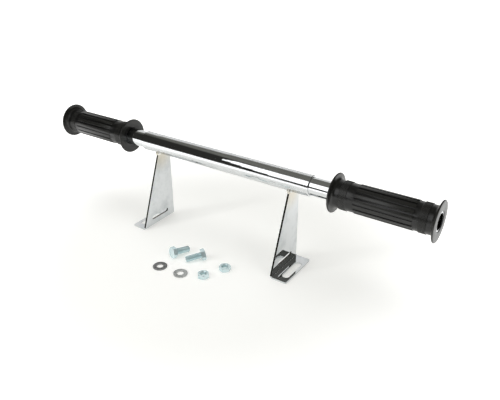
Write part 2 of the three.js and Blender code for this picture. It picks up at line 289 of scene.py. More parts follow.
# %% Shape the folded sheet
def folded_sheet(name):
    """The leg's outer skin, thickened: web, fold and foot."""
    height = leg_high.z - FOLD
    depth = leg_high.y - leg_low.y
    place = (leg_low.x, (leg_high.y + leg_low.y) / 2, FOLD + height / 2)
    start_clean()
    bpy.ops.mesh.primitive_plane_add(size=1, location=place, rotation=ALONG_BAR)
    bpy.context.object.scale = (height, depth, 1)
    leg = settle(name)
    edit(leg)
    for level in (FOLD, leg_high.z):
        pick("verts", lambda v: v.co.y < place[1] and abs(v.co.z - level) < SAME_PLACE)
        bpy.ops.transform.translate(value=(0, front_of_web(level) - leg_low.y, 0))
    pick("edges", lambda e: abs(middle(e).z - FOLD) < SAME_PLACE)
    bpy.ops.mesh.spin(steps=14, angle=math.pi / 2, axis=(0, 1, 0),
                      center=(leg_low.x + FOLD, place[1], FOLD))
    bpy.ops.mesh.extrude_edges_move(
        TRANSFORM_OT_translate={"value": (leg_high.x - leg_low.x - FOLD, 0, 0)})
    pick("verts", lambda v: v.co.y < place[1] and v.co.z < SAME_PLACE)
    bpy.ops.transform.translate(value=(0, leg_low.y - front_of_web(FOLD), 0))
    pick("verts", lambda v: v.co.x > leg_high.x - SAME_PLACE)
    bpy.ops.mesh.bevel(offset=TOE_CORNER, segments=5, affect="VERTICES")
    bpy.ops.object.mode_set(mode="OBJECT")
    finish_with(leg, "SOLIDIFY", thickness=SHEET, offset=1, use_even_offset=True)
    edit(leg)
    face_outwards()
    return leg


leg_right = folded_sheet("folded_leg_right")
print("folded:", [round(v / MM, 2) for v in leg_right.dimensions])


# %% Cut the slots and the saddle
def slot_tool(place, length, width, turn):
    """A body with round ends: a cylinder whose far half is moved along Y."""
    start_clean()
    bpy.ops.mesh.primitive_cylinder_add(vertices=48, radius=width / 2, depth=12 * MM,
                                        rotation=(0, 0, math.pi / 48))
    tool = settle("slot_tool")
    edit(tool)
    for side in (-1, 1):
        pick("verts", lambda v: v.co.y * side > 0)
        bpy.ops.transform.translate(value=(0, side * (length - width) / 2, 0))
    bpy.ops.object.mode_set(mode="OBJECT")
    tool.rotation_euler = (0, turn, 0)
    tool.location = place
    bpy.ops.object.transform_apply(location=True, rotation=True, scale=True)
    return tool


foot_slot = (leg_high.x - 7.3 * MM, leg_low.y + 27.5 * MM, 0)
web_slot = (web_middle, leg_low.y + 31 * MM, 12.5 * MM)
WEB_SLOT_LENGTH, WEB_SLOT_WIDTH = 32 * MM, 5 * MM
cut(leg_right, slot_tool(foot_slot, length=38 * MM, width=9.5 * MM, turn=0))
cut(leg_right, slot_tool(web_slot, WEB_SLOT_LENGTH, WEB_SLOT_WIDTH, turn=math.pi / 2))
start_clean()
SADDLE_PLAY = 0.05 * MM
bpy.ops.mesh.primitive_cylinder_add(vertices=BAR_SIDES, radius=sleeve_radius + SADDLE_PLAY,
                                    depth=60 * MM, location=(web_middle, bar.y, bar.z),
                                    rotation=ALONG_BAR)
cut(leg_right, settle("saddle_tool"))
leg_left = mirrored(leg_right, "folded_leg_left")
for leg, side in ((leg_right, "right"), (leg_left, "left")):
    soften(leg, 0.3 * MM, segments=3)
    stands_for(leg, f"leg_{side}", "bar")

# %% [markdown]
# ## Welds
# Under the sleeve a bead of weld runs along both faces of each web and turns round its
# front corner in a lump. Weld metal freezes in overlapping ripples. A smooth torus would
# look moulded, so a ring is spun along the saddle and drawn in again and again on its way,
# and the two beads and the lump are fused by a voxel remesh into one lumpy body.

# %% Sizes of the bead
BEAD = 1.9 * MM
BEAD_RINGS = 38
DRAWN_IN = 0.84
LUMP, LUMP_DROP = 3.1 * MM, 1.1 * MM
# Depth under the bar's axis where the web's front edge meets the sleeve's skin.
skin_drop = (-top_front * taper + math.sqrt((top_front * taper) ** 2 - (1 + taper**2)
             * (top_front**2 - sleeve_radius**2))) / (1 + taper**2)
front_angle = math.atan2(top_front + taper * skin_drop, skin_drop)
back_angle = -math.radians(59.5)
print("bead from", round(math.degrees(back_angle)), "to", round(math.degrees(front_angle)))


def on_skin(x, angle):
    """Point on the sleeve's skin; angle 0 is straight below, positive in front."""
    return Vector((x, bar.y - sleeve_radius * math.sin(angle),
                   bar.z - sleeve_radius * math.cos(angle)))


# %% Spin, ripple and fuse the bead
def weld_bead(name, x):
    """One rippled bead along the saddle, beside one face of the web."""
    start_clean()
    bpy.ops.mesh.primitive_circle_add(vertices=14, radius=BEAD, fill_type="NGON",
                                      location=on_skin(x, back_angle),
                                      rotation=(math.pi / 2 - back_angle, 0, 0))
    bead = settle(name)
    edit(bead)
    bpy.ops.mesh.select_all(action="SELECT")
    bpy.ops.mesh.spin(steps=BEAD_RINGS, angle=front_angle - back_angle, axis=(1, 0, 0),
                      center=(x, bar.y, bar.z))
    for step in range(1, BEAD_RINGS, 2):
        spot = on_skin(x, back_angle + (front_angle - back_angle) * step / BEAD_RINGS)
        pick("verts", lambda v: (v.co - spot).length < 1.2 * BEAD)
        bpy.ops.transform.resize(value=(DRAWN_IN, DRAWN_IN, DRAWN_IN), center_override=spot)
    face_outwards()
    return bead


bead = weld_bead("weld_bead_right", leg_low.x)
print("bead spans, mm:", [round(v / MM, 2) for v in bead.dimensions])
other = copy_of(bead, "weld_other")
other.location.x = SHEET
bpy.ops.object.transform_apply(location=True, rotation=False, scale=False)
start_clean()
bpy.ops.mesh.primitive_uv_sphere_add(segments=20, ring_count=12, radius=LUMP,
                                     location=on_skin(web_middle, front_angle)
                                     - Vector((0, 0, LUMP_DROP)))
lump = settle("weld_lump")
hold(bead)
other.select_set(True)
lump.select_set(True)
bpy.ops.object.join()
finish_with(bead, "REMESH", mode="VOXEL", voxel_size=0.24 * MM)
finish_with(bead, "SMOOTH", factor=0.5, iterations=2)
weld_left = mirrored(bead, "weld_bead_left")
for weld, side in ((bead, "right"), (weld_left, "left")):
    hold(weld)
    bpy.ops.object.shade_smooth()
    stands_for(weld, f"weld_{side}", "bar")

# %% [markdown]
# ## Grips
# Each grip is one rubber moulding: a thin flange, a trumpet down to a neck, a textured
# band, a plain band, a long ribbed stretch, and the same again at the other end. A
# lathe profile alone can't hold the ribs, so a ring is extruded from station to station
# along the bar and resized at each, which leaves a grid of faces. Ribs and grooves are
# then extruded out of that grid, and the texture is inset into single faces of it.

# %% Stations along the grip
grip_low, grip_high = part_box("grip_right")
flange = (grip_high.z - grip_low.z) / 2
bore = tube_radius + 0.3 * MM
plain = flange - 7 * MM
band = plain + 0.4 * MM
RIM = 1 * MM  # half the flange's thickness
INNER_TRUMPET, OUTER_TRUMPET = 3.5 * MM, 3.2 * MM
BAND_STEP = 0.4 * MM
BAND_ROWS = 8
MOUTH = 0.5 * MM  # chamfer where the bore comes out


def rim_stations(face, inward):
    """Half-round edge of a flange, from its face to its back; inward is +1 or -1 in X."""
    turns = [math.pi * i / 8 for i in range(9)]
    return [(face + inward * (RIM - RIM * math.cos(t)), flange - RIM + RIM * math.sin(t))
            for t in turns]


def trumpet(start, length, inward):
    """Curve from the back of a flange down to the neck."""
    rise = flange - RIM - plain
    turns = [math.pi / 2 * i / 8 for i in range(1, 9)]
    return [(start + inward * length * (1 - math.cos(t)), plain + rise * (1 - math.sin(t)))
            for t in turns]


def band_stations(start, length):
    """Textured band: a small step up, even rows of faces, and a small step down."""
    row = (length - 2 * BAND_STEP) / BAND_ROWS
    rows = [(start + BAND_STEP + row * i, band) for i in range(BAND_ROWS + 1)]
    return [(start, plain), *rows, (start + length, plain)]


# A textured band is given by its start and its length.
inner_face, outer_face = grip_low.x, grip_high.x
inner_neck = inner_face + 2 * RIM + INNER_TRUMPET
inner_band = (inner_neck + 4.5 * MM, 9 * MM)
ribs = (inner_face + 28.3 * MM, outer_face - 24.2 * MM)
outer_neck = outer_face - 2 * RIM - OUTER_TRUMPET
outer_band = (outer_neck - 13.5 * MM, 8.8 * MM)
stations = [(inner_face, bore + MOUTH), *rim_stations(inner_face, 1),
            *trumpet(inner_face + 2 * RIM, INNER_TRUMPET, 1),
            *band_stations(*inner_band), (ribs[0], plain), (ribs[1], plain),
            *band_stations(*outer_band),
            *reversed(trumpet(outer_face - 2 * RIM, OUTER_TRUMPET, -1)),
            *reversed(rim_stations(outer_face, -1)), (outer_face, bore + MOUTH),
            (outer_face - MOUTH, bore), (inner_face + MOUTH, bore)]
print(len(stations), "stations, ribs from", [round(x / MM, 1) for x in ribs])

# %% Grow the moulding and raise its ribs
RIBS = 16
GRIP_SIDES = RIBS * 6
PITCH = 360 / RIBS
RIB_PHASE = 15  # degrees that a rib's middle stands above the front of the bar
RIB_HEIGHT, GROOVE_DEPTH = 0.65 * MM, 0.45 * MM


def round_the_bar(point):
    """Angle of a point round the bar in degrees: 0 in front, 90 on top."""
    return math.degrees(math.atan2(point.z - bar.z, bar.y - point.y))


def on_rib(point):
    """True where a rib stands, false in the groove between two ribs."""
    offset = (round_the_bar(point) - RIB_PHASE + PITCH / 2) % PITCH - PITCH / 2
    return abs(offset) < PITCH / 3


def grown_grip(name):
    """The grip's skin, ring by ring, closed through its bore."""
    (along, radius), rest = stations[0], stations[1:]
    start_clean()
    bpy.ops.mesh.primitive_circle_add(vertices=GRIP_SIDES, radius=radius,
                                      location=(along, bar.y, bar.z), rotation=ALONG_BAR)
    grip = settle(name)
    edit(grip)
    bpy.ops.mesh.select_mode(type="EDGE")
    bpy.ops.mesh.select_all(action="SELECT")
    for x, r in rest:
        bpy.ops.mesh.extrude_edges_move(
            TRANSFORM_OT_translate={"value": (x - along, 0, 0)})
        bpy.ops.transform.resize(value=(1, r / radius, r / radius),
                                 center_override=(x, bar.y, bar.z))
        along, radius = x, r
    pick("edges", lambda e: e.is_boundary)
    bpy.ops.mesh.bridge_edge_loops()
    face_outwards()
    return grip


def in_ribs(face):
    """True for the skin's faces along the ribbed stretch."""
    spot = middle(face)
    return ribs[0] < spot.x < ribs[1] and off_axis(spot) > plain - 0.2 * MM


grip_right = grown_grip("ribbed_grip_right")
edit(grip_right)
raised = pick("faces", lambda f: in_ribs(f) and on_rib(middle(f)))
bpy.ops.mesh.extrude_region_shrink_fatten(TRANSFORM_OT_shrink_fatten={"value": RIB_HEIGHT})
sunk = pick("faces", lambda f: in_ribs(f) and not on_rib(middle(f))
            and abs(f.normal.x) < 0.1 and off_axis(middle(f)) < plain + 0.05 * MM)
bpy.ops.mesh.extrude_region_shrink_fatten(TRANSFORM_OT_shrink_fatten={"value": -GROOVE_DEPTH})
face_outwards()
widest = max(off_axis(v.co) for v in grip_right.data.vertices if ribs[0] < v.co.x < ribs[1])
print("rib faces", raised, "groove faces", sunk, "rib radius", round(widest / MM, 2))


# %% Texture the two bands
def knurl_face(face):
    """Every second face of the textured bands, as on a chequerboard."""
    spot = middle(face)
    for start, length in (inner_band, outer_band):
        row = (length - 2 * BAND_STEP) / BAND_ROWS
        place = (spot.x - start - BAND_STEP) / row
        if 0 < place < BAND_ROWS and off_axis(spot) > band - 0.05 * MM:
            column = math.floor(round_the_bar(spot) / (360 / GRIP_SIDES))
            return (math.floor(place) + column) % 2 == 0
    return False


finish_with(grip_right, "BEVEL", width=0.22 * MM, segments=2, limit_method="ANGLE",
            angle_limit=math.radians(45))
edit(grip_right)
print("knurl points:", pick("faces", knurl_face))
bpy.ops.mesh.inset(thickness=0.22 * MM, depth=0.32 * MM, use_individual=True)
bpy.ops.object.mode_set(mode="OBJECT")
grip_left = mirrored(grip_right, "ribbed_grip_left")
for grip, side in ((grip_right, "right"), (grip_left, "left")):
    hold(grip)
    bpy.ops.object.shade_smooth_by_angle(angle=math.radians(42))
    stands_for(grip, f"grip_{side}", "bar")

# %% [markdown]
# ## Bolts, nuts and washers
# The feet are held by M8 hexagon bolts, threaded along their whole shank, with a nut and a
# flat washer each. A texture could fake the thread, but its silhouette would stay smooth,
# so one tooth's section is swept up a helix by a Screw modifier and set on a core, or cut
# into the nut's bore. The hexagons get their turned corners from a chamfered round blank.
# Each kind is modelled once, standing at the origin, and then laid where its node is.

# %% Thread and hexagon
THREAD = 4 * MM
DEPTH = 0.6 * MM
PITCH_M8 = 1.25 * MM
FLATS = 13 * MM
BOLT_HEAD, BOLT_SHANK = 5.3 * MM, 20 * MM
NUT_HEIGHT = 5.2 * MM


def thread_ridge(bottom, turns, crest):
    """One helical tooth round Z, closed at both ends."""
    start_clean()
    bpy.ops.mesh.primitive_plane_add(size=1, location=(crest - DEPTH / 2, 0, bottom),
                                     rotation=(math.pi / 2, 0, 0))
    bpy.context.object.scale = (DEPTH * 1.2, PITCH_M8 * 0.9, 1)
    ridge = settle("thread_ridge")
    edit(ridge)
    pick("verts", lambda v: v.co.x > crest - DEPTH / 2)
    bpy.ops.transform.resize(value=(1, 1, 0.2), center_override=(crest, 0, bottom))
    bpy.ops.mesh.select_all(action="SELECT")
    bpy.ops.mesh.delete(type="ONLY_FACE")
    bpy.ops.object.mode_set(mode="OBJECT")
    finish_with(ridge, "SCREW", axis="Z", screw_offset=PITCH_M8, iterations=turns,
                steps=32, render_steps=32, use_merge_vertices=False)
    edit(ridge)
    bpy.ops.mesh.select_all(action="SELECT")
    bpy.ops.mesh.fill_holes(sides=4)
    face_outwards()
    return ridge


def hexagon(name, height, ends):
    """A hexagon standing on the origin; the named ends, -1 or 1, have turned corners."""
    corner = FLATS / math.sqrt(3)
    drop = (corner - FLATS / 2) * math.tan(math.pi / 6)
    start_clean()
    bpy.ops.mesh.primitive_cylinder_add(vertices=6, radius=corner, depth=height,
                                        location=(0, 0, height / 2),
                                        rotation=(0, 0, math.pi / 6))
    head = settle(name)
    start_clean()
    bpy.ops.mesh.primitive_cylinder_add(vertices=72, radius=corner + 0.02 * MM,
                                        depth=height, location=(0, 0, height / 2))
    blank = settle("hexagon_blank")
    edit(blank)
    for end in ends:
        pick("faces", lambda f: f.normal.z * end > 0.9)
        bpy.ops.mesh.inset(thickness=corner - FLATS / 2 + 0.02 * MM)
        pick("edges", lambda e: abs((middle(e).z - height / 2) * end - height / 2) < SAME_PLACE
             and middle(e).xy.length > corner - 0.1 * MM)
        bpy.ops.transform.translate(value=(0, 0, -end * drop))
    face_outwards()
    cut(head, blank, "INTERSECT")
    return head


# %% Bolt
def hexagon_bolt(name):
    """A bolt standing on its head, threaded up its whole shank."""
    top = BOLT_HEAD + BOLT_SHANK
    bolt = hexagon(name, BOLT_HEAD, [-1])
    soften(bolt, 0.12 * MM)
    start_clean()
    bpy.ops.mesh.primitive_cylinder_add(vertices=48, radius=THREAD - DEPTH,
                                        depth=BOLT_SHANK + 1 * MM,
                                        location=(0, 0, top - (BOLT_SHANK + 1 * MM) / 2))
    core = settle("bolt_core")
    soften(core, 0.4 * MM)
    ridge = thread_ridge(BOLT_HEAD + 0.6 * MM, turns=16, crest=THREAD)
    start_clean()
    bpy.ops.mesh.primitive_cylinder_add(vertices=72, radius=THREAD + 0.05 * MM,
                                        depth=BOLT_SHANK,
                                        location=(0, 0, top - BOLT_SHANK / 2))
    blank = settle("shank_blank")
    edit(blank)
    pick("faces", lambda f: f.normal.z > 0.9)
    bpy.ops.mesh.inset(thickness=0.8 * MM)
    pick("edges", lambda e: middle(e).z > top - SAME_PLACE
         and middle(e).xy.length > THREAD - 0.1 * MM)
    bpy.ops.transform.translate(value=(0, 0, -0.9 * MM))
    face_outwards()
    cut(ridge, blank, "INTERSECT")
    hold(ridge)
    bpy.ops.object.shade_smooth_by_angle(angle=math.radians(25))
    hold(bolt)
    core.select_set(True)
    ridge.select_set(True)
    bpy.ops.object.join()
    return bolt


# %% Lay the bolts where the frame has them
def lay_on(piece, node, body):
    """Moves a finished fastener so that its box is centred on its node's, on the floor."""
    low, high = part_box(node)
    points = [v.co for v in piece.data.vertices]
    here = [(min(p[i] for p in points), max(p[i] for p in points)) for i in range(3)]
    shift = ((low.x + high.x) / 2 - sum(here[0]) / 2,
             (low.y + high.y) / 2 - sum(here[1]) / 2, low.z - here[2][0])
    hold(piece)
    piece.location = shift
    bpy.ops.object.transform_apply(location=True, rotation=False, scale=False)
    stands_for(piece, node, body)


lean = math.atan((FLATS / 2 - THREAD) / (19 * MM))  # a bolt rests on its head and its tip
standing = hexagon_bolt("bolt_pattern")
for side, heading in (("left", 71), ("right", 232)):
    bolt = copy_of(standing, f"threaded_bolt_{side}")
    bolt.rotation_euler = (math.pi / 2 + lean, 0, math.radians(heading) + math.pi / 2)
    bpy.ops.object.transform_apply(location=False, rotation=True, scale=False)
    lay_on(bolt, f"bolt_{side}", f"bolt_{side}")
bpy.data.objects.remove(standing)


# %% Nut
def hexagon_nut(name):
    """A nut with turned corners at both ends and a real thread in its bore."""
    nut = hexagon(name, NUT_HEIGHT, [-1, 1])
    start_clean()
    bpy.ops.mesh.primitive_cylinder_add(vertices=48, radius=THREAD - DEPTH,
                                        depth=NUT_HEIGHT + 4 * MM,
                                        location=(0, 0, NUT_HEIGHT / 2))
    cut(nut, settle("nut_bore"))
    cut(nut, thread_ridge(-1.4 * MM, turns=8, crest=THREAD))
    for end, face in ((1, 0), (-1, NUT_HEIGHT)):
        start_clean()
        bpy.ops.mesh.primitive_cone_add(vertices=48, radius1=THREAD + 0.45 * MM + 1 * MM,
                                        radius2=THREAD - DEPTH - 0.4 * MM, depth=2.45 * MM,
                                        location=(0, 0, face + end * 0.225 * MM),
                                        rotation=(0 if end > 0 else math.pi, 0, 0))
        cut(nut, settle("countersink"))
    hold(nut)
    bpy.ops.object.shade_smooth_by_angle(angle=math.radians(25))
    return nut


pattern = hexagon_nut("nut_pattern")
for side, heading in (("left", 12), ("right", 40)):
    nut = copy_of(pattern, f"threaded_nut_{side}")
    nut.rotation_euler = (0, 0, math.radians(heading))
    bpy.ops.object.transform_apply(location=False, rotation=True, scale=False)
    lay_on(nut, f"nut_{side}", f"nut_{side}")
bpy.data.objects.remove(pattern)

# %% Washers
washer_low, washer_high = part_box("washer_left")
washer_radius = (washer_high.x - washer_low.x) / 2
thick = washer_high.z
start_clean()
bpy.ops.mesh.primitive_cylinder_add(vertices=96, radius=washer_radius, depth=thick,
                                    location=(0, 0, thick / 2))
punched = settle("washer_pattern")
edit(punched)
pick("faces", lambda f: abs(f.normal.z) > 0.9)
WASHER_HOLE = 4.2 * MM  # radius
bpy.ops.mesh.inset(thickness=washer_radius - WASHER_HOLE)
bpy.ops.mesh.bridge_edge_loops()
face_outwards()
soften(punched, 0.22 * MM, segments=3)
for side in ("left", "right"):
    washer = copy_of(punched, f"punched_washer_{side}")
    lay_on(washer, f"washer_{side}", f"washer_{side}")
bpy.data.objects.remove(punched)

# %% [markdown]
# ## Finishes
# The steel is chrome plated, the hardware is zinc plated, and the grips are black rubber.
# Effects that several finishes share are node groups: `handling` varies a surface between
# two roughnesses with faint smears, and `grain` gives a fine height. They read Object
# coordinates, which are the frame's own metres, so a mark keeps its real size everywhere.


# %% Tools for node groups and materials
def new_group(name, inputs, outputs):
    """A node group with named float inputs and named outputs, and its two end nodes."""
    group = bpy.data.node_groups.new(name, "ShaderNodeTree")
    for label, value in inputs:
        socket = group.interface.new_socket(label, in_out="INPUT",
                                            socket_type="NodeSocketFloat")
        socket.default_value = value
    for label, kind in outputs:
        group.interface.new_socket(label, in_out="OUTPUT", socket_type=kind)
    return group, group.nodes.new("NodeGroupInput"), group.nodes.new("NodeGroupOutput")


def add(tree, kind, links=(), **values):
    """Adds a node, sets its properties and plain inputs, and links its inputs."""
    node = tree.nodes.new(kind)
    for name, value in values.items():
        if hasattr(node, name):
            setattr(node, name, value)
        else:
            node.inputs[name.replace("_", " ")].default_value = value
    for socket, source in links:
        tree.links.new(source, node.inputs[socket])
    return node


# %% Shared effects
def handling_group():
    """Roughness that drifts between two values, with faint smears."""
    group, given, result = new_group(
        "handling", [("Scale", 40), ("Low", 0.03), ("High", 0.1)],
        [("Roughness", "NodeSocketFloat"), ("Mask", "NodeSocketFloat")])
    where = add(group, "ShaderNodeTexCoord")
    cloud = add(group, "ShaderNodeTexNoise", Detail=4.0, Roughness=0.6,
                links=[("Vector", where.outputs["Object"]), ("Scale", given.outputs["Scale"])])
    mask = add(group, "ShaderNodeMapRange", interpolation_type="SMOOTHSTEP",
               links=[("Value", cloud.outputs["Fac"])])
    mask.inputs["From Min"].default_value = 0.4
    mask.inputs["From Max"].default_value = 0.72
    blend = add(group, "ShaderNodeMapRange",
                links=[("Value", mask.outputs["Result"]), ("To Min", given.outputs["Low"]),
                       ("To Max", given.outputs["High"])])
    group.links.new(blend.outputs["Result"], result.inputs["Roughness"])
    group.links.new(mask.outputs["Result"], result.inputs["Mask"])
    return group


def grain_group():
    """Height of a fine grain over a slow swell."""
    group, given, result = new_group(
        "grain", [("Fine", 3000), ("Slow", 60), ("Swell", 0.5)],
        [("Height", "NodeSocketFloat")])
    where = add(group, "ShaderNodeTexCoord")
    fine = add(group, "ShaderNodeTexNoise", Detail=2.0,
               links=[("Vector", where.outputs["Object"]), ("Scale", given.outputs["Fine"])])
    slow = add(group, "ShaderNodeTexNoise", Detail=1.0,
               links=[("Vector", where.outputs["Object"]), ("Scale", given.outputs["Slow"])])
    mix = add(group, "ShaderNodeMix", data_type="FLOAT",
              links=[("Factor", given.outputs["Swell"])])
    group.links.new(fine.outputs["Fac"], mix.inputs["A"])
    group.links.new(slow.outputs["Fac"], mix.inputs["B"])
    group.links.new(mix.outputs["Result"], result.inputs["Height"])
    return group


HANDLING = handling_group()
GRAIN = grain_group()
print("shared effects:", HANDLING.name, GRAIN.name)


def finish_material(name, metallic, tones, handling, grain, bump):
    """A material with its two tones, its own handling and its own grain joined up.

    Handling is scale, low and high roughness; grain is fine scale, slow scale and swell;
    bump is strength and distance.
    """
    material = bpy.data.materials.new(name)
    material.use_nodes = True
    tree = material.node_tree
    shader = tree.nodes["Principled BSDF"]
    shader.inputs["Metallic"].default_value = metallic
    marks = add(tree, "ShaderNodeGroup", node_tree=HANDLING)
    for label, value in zip(("Scale", "Low", "High"), handling):
        marks.inputs[label].default_value = value
    tree.links.new(marks.outputs["Roughness"], shader.inputs["Roughness"])
    relief = add(tree, "ShaderNodeGroup", node_tree=GRAIN)
    for label, value in zip(("Fine", "Slow", "Swell"), grain):
        relief.inputs[label].default_value = value
    lift = add(tree, "ShaderNodeBump", links=[("Height", relief.outputs["Height"])])
    lift.inputs["Strength"].default_value = bump[0]
    lift.inputs["Distance"].default_value = bump[1]
    tree.links.new(lift.outputs["Normal"], shader.inputs["Normal"])
    tone = add(tree, "ShaderNodeMix", data_type="RGBA",
               links=[("Factor", marks.outputs["Mask"])])
    for label, colour in zip("AB", tones):
        tone.inputs[label].default_value = (*colour, 1)
    tree.links.new(tone.outputs["Result"], shader.inputs["Base Color"])
    return material, tree, shader, tone


# %% [markdown]
# Chrome is a mirror: its roughness is close to nothing and its colour is what it
# reflects. The tube is polished before plating, so it gets only a faint drift. The legs
# are plated as pressed sheet, so they have a slow swell. Near the weld, where the web meets
# the sleeve, a yellow-brown tint that fades with the distance from the bead is painted shade.

# %% Chrome
chrome = finish_material(
    "polished_chrome", 1, ((0.75, 0.765, 0.775), (0.69, 0.71, 0.72)),
    handling=(35, 0.015, 0.05), grain=(1500, 40, 0.9), bump=(0.02, 0.2 * MM))[0]
leg_chrome, tree, shader, plain_tone = finish_material(
    "sheet_chrome", 1, ((0.72, 0.74, 0.755), (0.58, 0.605, 0.62)),
    handling=(45, 0.02, 0.07), grain=(900, 45, 0.9), bump=(0.1, 0.6 * MM))
# Painted shade: a yellow-brown tint where the web meets the sleeve, fading with the distance
# from the bead.
where = add(tree, "ShaderNodeTexCoord")
folded = add(tree, "ShaderNodeVectorMath", operation="ABSOLUTE",
             links=[(0, where.outputs["Object"])])
from_weld = add(tree, "ShaderNodeVectorMath", operation="DISTANCE",
                links=[(0, folded.outputs["Vector"])])
from_weld.inputs[1].default_value = on_skin(web_middle, front_angle - 0.4)
weld_shade_mask = add(tree, "ShaderNodeMapRange", interpolation_type="SMOOTHSTEP",
            links=[("Value", from_weld.outputs["Value"])])
for label, value in (("From Min", 30 * MM), ("From Max", 2 * MM), ("To Max", 0.5)):
    weld_shade_mask.inputs[label].default_value = value
weld_shade_tone = add(tree, "ShaderNodeMix", data_type="RGBA",
           links=[("Factor", weld_shade_mask.outputs["Result"]), ("A", plain_tone.outputs["Result"])])
weld_shade_tone.inputs["B"].default_value = (0.62, 0.53, 0.36, 1)
tree.links.new(weld_shade_tone.outputs["Result"], shader.inputs["Base Color"])
print("chrome:", chrome.name, leg_chrome.name)

# %% [markdown]
# The rest of the metal is duller. The weld is plated over its ripples, the bolts and nuts
# have a bluish zinc, and the two washers are blanked from greyer, rougher sheet, one of
# them paler. These could all be plain metals, but a metallic value below one keeps some of
# their own colour in the white room. The walls of the punched slots in the webs get a
# near-black finish of their own, which is painted shade inside the slots.

# %% Weld, zinc and painted shade in the slots
weld_chrome = finish_material(
    "plated_weld", 0.5, ((0.95, 0.94, 0.9), (0.6, 0.55, 0.44)),
    handling=(300, 0.15, 0.3), grain=(2500, 600, 0.5), bump=(0.2, 0.2 * MM))[0]
zinc = finish_material(
    "bright_zinc", 0.5, ((0.74, 0.88, 0.90), (0.62, 0.79, 0.82)),
    handling=(120, 0.16, 0.26), grain=(4000, 500, 0.5), bump=(0.12, 0.1 * MM))[0]
washer_zinc, pale_zinc = [
    finish_material(name, 0.7, tones, handling=(420, 0.3, 0.5), grain=(4200, 500, 0.4),
                    bump=(0.2, 0.1 * MM))[0]
    for name, tones in (("dull_zinc", ((0.34, 0.345, 0.345), (0.2, 0.205, 0.205))),
                        ("pale_zinc", ((0.62, 0.63, 0.62), (0.4, 0.41, 0.41))))]
# Painted shade: a near-black finish for the walls inside the web slots.
slot_shade = finish_material(
    "slot_shade", 0.8, ((0.045, 0.04, 0.033), (0.025, 0.022, 0.018)),
    handling=(200, 0.3, 0.5), grain=(2500, 300, 0.5), bump=(0.2, 0.1 * MM))[0]
duller = (weld_chrome, zinc, washer_zinc, pale_zinc, slot_shade)
print("duller metal:", [material.name for material in duller])

# %% [markdown]
# The rubber is black but never quite dark. Its tone goes by the distance from the bar's
# axis: the tops of the ribs and the flanges are a lighter grey, partly wear where hands have
# rubbed it and partly a painted sheen for the light the ribs catch. Its grain is a fine bump.

# %% Rubber
rubber, tree, shader, tone = finish_material(
    "grip_rubber", 0, ((0.002, 0.002, 0.002), (0.0125, 0.0125, 0.011)),
    handling=(60, 0.3, 0.36), grain=(2600, 300, 0.25), bump=(0.1, 0.1 * MM))
where = add(tree, "ShaderNodeTexCoord")
from_axis = add(tree, "ShaderNodeVectorMath", operation="MULTIPLY_ADD",
                links=[(0, where.outputs["Object"])])
from_axis.inputs[1].default_value = (0, 1, 1)
from_axis.inputs[2].default_value = (0, -bar.y, -bar.z)
reach = add(tree, "ShaderNodeVectorMath", operation="LENGTH",
            links=[("Vector", from_axis.outputs["Vector"])])
# Painted sheen, partly wear: rib tops and flanges get the lighter tone by their distance from
# the bar's axis.
sheen_and_wear = add(tree, "ShaderNodeMapRange", interpolation_type="SMOOTHSTEP",
           links=[("Value", reach.outputs["Value"])])
sheen_and_wear.inputs["From Min"].default_value = plain - 0.3 * MM
sheen_and_wear.inputs["From Max"].default_value = plain + 0.6 * MM
tree.links.new(sheen_and_wear.outputs["Result"], tone.inputs["Factor"])
print("rubber:", rubber.name)

# %% Put each finish on its pieces
FINISHES = {
    chrome: ("through_tube", "thick_sleeve"),
    leg_chrome: ("folded_leg_right", "folded_leg_left"),
    weld_chrome: ("weld_bead_right", "weld_bead_left"),
    rubber: ("ribbed_grip_right", "ribbed_grip_left"),
    zinc: ("threaded_bolt_left", "threaded_bolt_right", "threaded_nut_left",
           "threaded_nut_right"),
    washer_zinc: ("punched_washer_left",),
    pale_zinc: ("punched_washer_right",),
}
for material, names in FINISHES.items():
    for name in names:
        piece = bpy.data.objects[name]
        piece.data.materials.clear()
        piece.data.materials.append(material)
print("finished pieces:", sum(len(names) for names in FINISHES.values()))


# %% Paint shade on the walls of the web slots
def in_web_slot(face):
    """True for the faces that line the web's slot, inside the sheet's thickness."""
    spot = middle(face)
    return (abs(abs(spot.x) - web_middle) < SHEET / 2 - 0.05 * MM
            and abs(face.normal.x) < 0.9
            and abs(spot.z - web_slot[2]) < WEB_SLOT_WIDTH / 2 + 0.1 * MM
            and abs(spot.y - web_slot[1]) < WEB_SLOT_LENGTH / 2 + 0.2 * MM)


# Painted shade goes on the faces that line each web slot.
for leg in (leg_right, leg_left):
    leg.data.materials.append(slot_shade)
    edit(leg)
    print("slot wall faces:", pick("faces", in_web_slot))
    leg.active_material_index = 1
    bpy.ops.object.material_slot_assign()
    bpy.ops.object.mode_set(mode="OBJECT")

# %% [markdown]
# ## Room and light
# A mirror is only as good as what stands round it. The bar stands on a white floor that
# ends a metre in front of it, and a sweep rises far behind. One large soft light with a
# cut corner hangs in front on the left, and the rest of the room is dark, with a dim
# ceiling. These give the chrome its pale edge, its dark band, its white strip and the thin
# dark line under the strip, which is the dark between the light and the floor's end.

# %% Floor and sweep
VIEW_TURN = 0.591  # radians that the camera looks to the left of the bar's own back
BACK = Vector((-math.sin(VIEW_TURN), math.cos(VIEW_TURN), 0))
SWEEP_BACK, SWEEP_HEIGHT = 2.6, 2.85  # metres


def sheet_of_paper(name, back, width, depth):
    """A level sheet, square to the view, with its middle this far behind the origin."""
    start_clean()
    bpy.ops.mesh.primitive_plane_add(size=1, location=BACK * back, rotation=(0, 0, VIEW_TURN))
    bpy.context.object.scale = (width, depth, 1)
    return settle(name)


floor = sheet_of_paper("floor", 0.7, 9, 3.4)
sweep = sheet_of_paper("sweep", SWEEP_BACK, 3.4, 0.7)
edit(sweep)
pick("edges", lambda e: middle(e).dot(BACK) > SWEEP_BACK + 0.3)
bpy.ops.mesh.extrude_edges_move(TRANSFORM_OT_translate={"value": (0, 0, SWEEP_HEIGHT)})
bpy.ops.object.mode_set(mode="OBJECT")
sweep.location.z = 0.001
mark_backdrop(floor, sweep)


